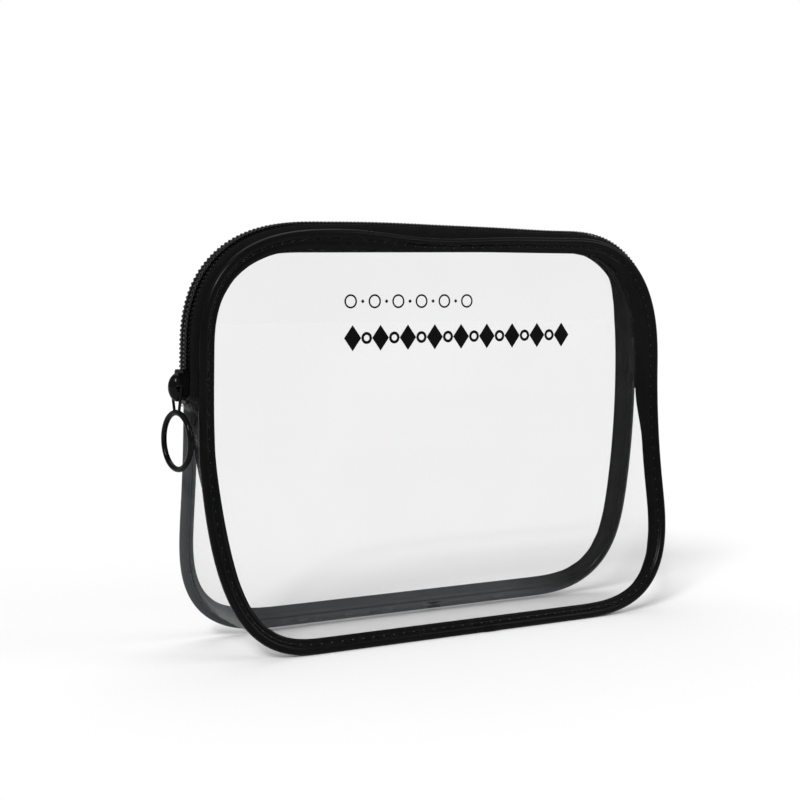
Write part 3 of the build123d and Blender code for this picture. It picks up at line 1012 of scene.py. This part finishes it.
def round_bar(name, start, end, radius):
    """Round bar between two points."""
    start = Vector(start) * MM
    end = Vector(end) * MM
    deselect()
    bpy.ops.mesh.primitive_cylinder_add(
        vertices=16, radius=radius * MM, depth=(end - start).length,
        location=(start + end) / 2,
        rotation=(end - start).to_track_quat("Z", "Y").to_euler(),
    )
    bar = bpy.context.active_object
    bar.name = name
    bpy.ops.object.transform_apply(location=True, rotation=True, scale=True)
    return bar


def hanging_ring():
    """Ring and the eye it hangs by, turned a little about the upright."""
    x = MIDDLE_X - HALF_WIDTH - PIVOT_OUT
    z = PIVOT_Z - RING_DROP + RING_SLACK
    deselect()
    bpy.ops.mesh.primitive_torus_add(
        major_segments=80, minor_segments=14,
        major_radius=RING_R * MM, minor_radius=RING_WIRE_R * MM,
        location=(x * MM, 0.0, z * MM), rotation=(0.0, math.pi / 2, RING_TWIST),
    )
    ring = bpy.context.active_object
    bpy.ops.object.transform_apply(location=True, rotation=True, scale=True)

    def at(y, height):
        return x - y * math.sin(RING_TWIST), y * math.cos(RING_TWIST), height

    foot = z + EYE_FOOT_RISE
    top = PIVOT_Z + EYE_TOP_RISE
    parts = [ring]
    for name, start, end, radius in (
        ("bar", at(-EYE_HALF, PIVOT_Z), at(EYE_HALF, PIVOT_Z), EYE_BAR_R),
        ("near_leg", at(-EYE_HALF, top), at(-EYE_FOOT_HALF, foot), EYE_LEG_R),
        ("far_leg", at(EYE_HALF, top), at(EYE_FOOT_HALF, foot), EYE_LEG_R),
        ("foot", at(-FOOT_BAR_HALF, foot), at(FOOT_BAR_HALF, foot), FOOT_BAR_R),
    ):
        parts.append(round_bar(name, start, end, radius))
    piece = join("hanging_ring", parts)
    smooth(piece, 50)
    return piece


# ---- stitches ------------------------------------------------------------------------

def stitch_pattern(radius, length):
    """One stitch: a short rounded bar."""
    deselect()
    bpy.ops.mesh.primitive_cylinder_add(vertices=6, radius=radius, depth=length)
    stitch = bpy.context.active_object
    bpy.ops.object.mode_set(mode="EDIT")
    bpy.ops.mesh.select_all(action="DESELECT")
    bpy.ops.object.mode_set(mode="OBJECT")
    for face in stitch.data.polygons:
        face.select = abs(face.normal.z) > 0.9
    bpy.ops.object.mode_set(mode="EDIT")
    bpy.ops.mesh.extrude_region_shrink_fatten(
        TRANSFORM_OT_shrink_fatten={"value": 0.12}
    )
    bpy.ops.object.mode_set(mode="OBJECT")
    for vertex in stitch.data.vertices:
        if abs(vertex.co.z) > length / 2 + 0.05:
            vertex.co.x *= 0.45
            vertex.co.y *= 0.45
    return stitch


def stitch_row(name, pattern, seats, alongs, normals):
    """Copies of one stitch, laid on a seam."""
    mesh = bmesh.new()
    template = pattern.data.copy()
    for seat, along, normal in zip(seats, alongs, normals):
        along = Vector(along).normalized()
        normal = Vector(normal).normalized()
        turn = Matrix((normal, along.cross(normal), along)).transposed().to_4x4()
        place = Matrix.Translation((Vector(seat) + Vector((MIDDLE_X, 0, 0))) * MM)
        scaled = place @ turn @ Matrix.Scale(MM, 4)
        template.transform(scaled)
        mesh.from_mesh(template)
        template.transform(scaled.inverted())
    bpy.data.meshes.remove(template)
    bmesh.ops.recalc_face_normals(mesh, faces=mesh.faces)
    data = bpy.data.meshes.new(name)
    mesh.to_mesh(data)
    mesh.free()
    piece = bpy.data.objects.new(name, data)
    bpy.context.scene.collection.objects.link(piece)
    smooth(piece, 70)
    return piece


def coil_legs(name, pattern, side, low, high):
    """Legs of the coil, which lie slanted on the tape beside the chain."""
    count = int((high - low) / PITCH)
    s = low + (np.arange(count) + 0.4) * PITCH
    seats = zip_point(s, 4.62, side * 4.35)
    nexts = zip_point(s + 0.4, 4.52, side * 5.35)
    out_x, out_z = on_loop(s)[2:]
    normals = np.stack([out_x, np.zeros_like(out_x), out_z], axis=-1)
    return stitch_row(name, pattern, seats, nexts - seats, normals)


def seam_stitches(name, pattern, settle, back):
    """Lockstitch in the groove beside the bead."""
    count = int(AROUND / STITCH_SPACING)
    s = (np.arange(count) + 0.5) * AROUND / count
    seat = (-2.2, 0.62 if not back else 0.3)
    spots = along_wall(s, [seat], settle, back=back)[:, 0]
    nexts = along_wall(s + 0.5, [seat], settle, back=back)[:, 0]
    facing = wall_frame(s, back)[2]
    return stitch_row(name, pattern, spots, nexts - spots, facing)


def bartack(name, pattern, side, top_z):
    """Three short rows of thread across the zip's end, over the clear sheet."""
    spots, alongs, normals = [], [], []
    for row in range(3):
        s = climb(top_z - 1.4 * row, side)
        x, z, out_x, out_z = (float(v) for v in on_loop(s))
        for y in (-3.6, 0.0, 3.6):
            out = float(gusset_level(y, z, side)) + 0.28
            spots.append((x + out_x * out, y, z + out_z * out))
            alongs.append((0, 1, 0))
            normals.append((out_x, 0, out_z))
    return stitch_row(name, pattern, spots, alongs, normals)


# ---- print on the front --------------------------------------------------------------

PRINT_Y = -TOP_HALF_DEPTH - FRONT_DISH - 0.55


def print_ring(x, z, radius, stroke):
    deselect()
    bpy.ops.mesh.primitive_torus_add(
        location=(0, 0, 0), major_radius=radius, minor_radius=stroke,
        major_segments=40, minor_segments=8,
    )
    return place_print(x, z)


def print_diamond(x, z, reach, stretch):
    deselect()
    bpy.ops.mesh.primitive_cylinder_add(vertices=4, radius=reach, depth=1.0)
    for vertex in bpy.context.active_object.data.vertices:
        vertex.co.y *= stretch
    return place_print(x, z)


def place_print(x, z):
    """Lays a flat shape on the front wall."""
    shape = bpy.context.active_object
    for vertex in shape.data.vertices:
        flat_x, flat_z, high = vertex.co.x, vertex.co.y, vertex.co.z
        vertex.co = Vector((
            (flat_x + x + MIDDLE_X) * MM,
            (PRINT_Y + 0.1 * high) * MM,
            (flat_z + z) * MM,
        ))
    return shape


def front_print():
    """Plain ornament: a fine row of rings and dots over a longer, bolder row of lozenges."""
    shapes = []
    for index in range(6):
        x = UPPER_ROW_X + UPPER_ROW_STEP * index
        shapes.append(print_ring(x, UPPER_ROW_Z, 2.7, 0.4))
        if index < 5:
            shapes.append(print_diamond(x + UPPER_ROW_STEP / 2, UPPER_ROW_Z, 0.9, 1.0))
    for index in range(9):
        x = LOWER_ROW_X + LOWER_ROW_STEP * index
        shapes.append(print_diamond(x, LOWER_ROW_Z, 4.2, 1.35))
        if index < 8:
            shapes.append(print_ring(x + LOWER_ROW_STEP / 2, LOWER_ROW_Z, 2.0, 0.65))
    piece = join("front_print", shapes)
    face_outwards(piece)
    return piece


# ---- building ------------------------------------------------------------------------

def fold(piece):
    """Bakes a front piece's placement into its mesh; the piece is left unattached to any body."""
    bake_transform(piece)


def build():
    clear = clear_vinyl_material()
    vinyl = black_vinyl_material("black_pvc_skin", 0.0)
    # back piping's skin, with painted haze low down and to the left, standing in for light off the
    # clear sheets in front
    haze_painted_skin = black_vinyl_material("black_pvc_skin_painted_haze", 0.05)
    woven = tape_material()
    nylon = coil_material()
    enamel = enamel_material("black_enamel_metal", 0.03, 0.1)
    dull_enamel = enamel_material("black_enamel_dull", 0.01, 0.0)
    steel = spring_material()
    thread = thread_material()
    filler = filler_material()
    ink = ink_material()

    front_wall = wall_sheet("front_wall", front_settle, FRONT_DISH, 0.25, -1)
    dress(front_wall, clear)
    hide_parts("front_panel_lower", "front_panel_upper")
    fold(front_wall)

    back_wall = wall_sheet("back_wall", zip_settle, BACK_DISH, 0.35, 1)
    dress(back_wall, clear)
    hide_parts("back_panel")
    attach(back_wall, "root")

    gusset, gusset_length = clear_gusset()
    dress(gusset, clear)
    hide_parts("gusset")
    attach(gusset, "root")

    front_piping = piping("front_piping", FRONT_FLANGE, FRONT_DISH, front_settle, False)
    dress(front_piping, vinyl)
    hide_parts("front_piping_lower", "front_piping_upper")
    fold(front_piping)

    back_skin = piping("back_piping_skin", BACK_FLANGE, BACK_DISH, zip_settle, True)
    dress(back_skin, haze_painted_skin)
    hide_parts("back_piping")
    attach(back_skin, "root")

    front_cord = filler_cord("front_filler_cord", front_settle, False)
    dress(front_cord, filler)
    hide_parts("front_piping_cord_lower", "front_piping_cord_upper")
    fold(front_cord)

    back_cord = filler_cord("back_filler_cord", zip_settle, True)
    dress(back_cord, filler)
    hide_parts("back_piping_cord")
    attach(back_cord, "root")

    for name, side in (("front", -1), ("back", 1)):
        lap = piping_lap(f"{name}_piping_lap", side)
        dress(lap, vinyl)
        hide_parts(f"{name}_piping_splice")
        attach(lap, "root")

    low = climb(ZIP_LEFT_Z, -1)
    high = climb(ZIP_RIGHT_Z, 1)
    front_tape = zip_tape("front_tape", -1, low, high)
    dress(front_tape, woven)
    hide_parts("front_zipper_tape", "front_zipper_tape_end")
    fold(front_tape)
    back_tape = zip_tape("back_tape", 1, low, high)
    dress(back_tape, woven)
    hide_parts("back_zipper_tape")
    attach(back_tape, "root")

    loop = coil_loop()
    front_coil = coil("front_coil", loop, -1, low + COIL_END_GAP, high - COIL_END_GAP)
    dress(front_coil, nylon)
    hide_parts("front_zipper_coil", "front_zipper_coil_end")
    fold(front_coil)
    back_coil = coil("back_coil", loop, 1, low + COIL_END_GAP, high - COIL_END_GAP)
    dress(back_coil, nylon)
    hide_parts("back_zipper_coil")
    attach(back_coil, "root")
    bpy.data.objects.remove(loop)

    leg = stitch_pattern(0.36, 1.7)
    front_legs = coil_legs("front_coil_legs", leg, -1, low + COIL_END_GAP, high - COIL_END_GAP)
    dress(front_legs, nylon)
    fold(front_legs)
    back_legs = coil_legs("back_coil_legs", leg, 1, low + COIL_END_GAP, high - COIL_END_GAP)
    dress(back_legs, nylon)
    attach(back_legs, "root")
    bpy.data.objects.remove(leg)

    front_rows = coil_stitching("front_coil_stitching", -1, low + COIL_END_GAP, high - COIL_END_GAP)
    dress(front_rows, thread)
    fold(front_rows)
    back_rows = coil_stitching("back_coil_stitching", 1, low + COIL_END_GAP, high - COIL_END_GAP)
    dress(back_rows, thread)
    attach(back_rows, "root")

    for name, side, z_low, z_high in (
        ("left", -1, TAIL_LEFT_Z, ZIP_LEFT_Z), ("right", 1, TAIL_RIGHT_Z, ZIP_RIGHT_Z),
    ):
        tails = join(f"{name}_tape_tail", [
            tape_tail(f"{name}_tail_a", side, -1, z_low, z_high),
            tape_tail(f"{name}_tail_b", side, 1, z_low, z_high),
        ])
        dress(tails, woven)
        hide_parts(f"{name}_tape_tails")
        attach(tails, "root")

    stitch = stitch_pattern(0.24, 0.7)
    front_seam = seam_stitches("front_seam_stitches", stitch, front_settle, False)
    dress(front_seam, thread)
    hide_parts("front_seam_thread_lower", "front_seam_thread_upper")
    fold(front_seam)
    back_seam = seam_stitches("back_seam_stitches", stitch, zip_settle, True)
    dress(back_seam, thread)
    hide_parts("back_seam_thread")
    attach(back_seam, "root")
    bpy.data.objects.remove(stitch)
    stitch = stitch_pattern(0.22, 1.5)
    for name, side, top_z in (
        ("left", -1, ZIP_LEFT_Z - 1.6), ("right", 1, ZIP_RIGHT_Z - 1.6),
    ):
        tack = bartack(f"{name}_bartack_rows", stitch, side, top_z)
        dress(tack, thread)
        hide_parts(f"{name}_bartack")
        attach(tack, "root")
    bpy.data.objects.remove(stitch)

    ornament = front_print()
    dress(ornament, ink)
    fold(ornament)

    dome = slider_dome()
    dress(dome, enamel)
    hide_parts("slider_cap")
    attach(dome, "slider")
    ring = hanging_ring()
    dress(ring, enamel)
    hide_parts("pull_ring")
    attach(ring, "pull")

    for node, material in (
        ("left_zip_stop", nylon), ("right_zip_stop", nylon), ("slider_body", dull_enamel),
        ("slider_lock_spring", steel),
    ):
        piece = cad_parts[node]
        piece.data.materials.clear()
        piece.data.materials.append(material)


make_camera()
make_studio()
make_floor(floor_material())
build()
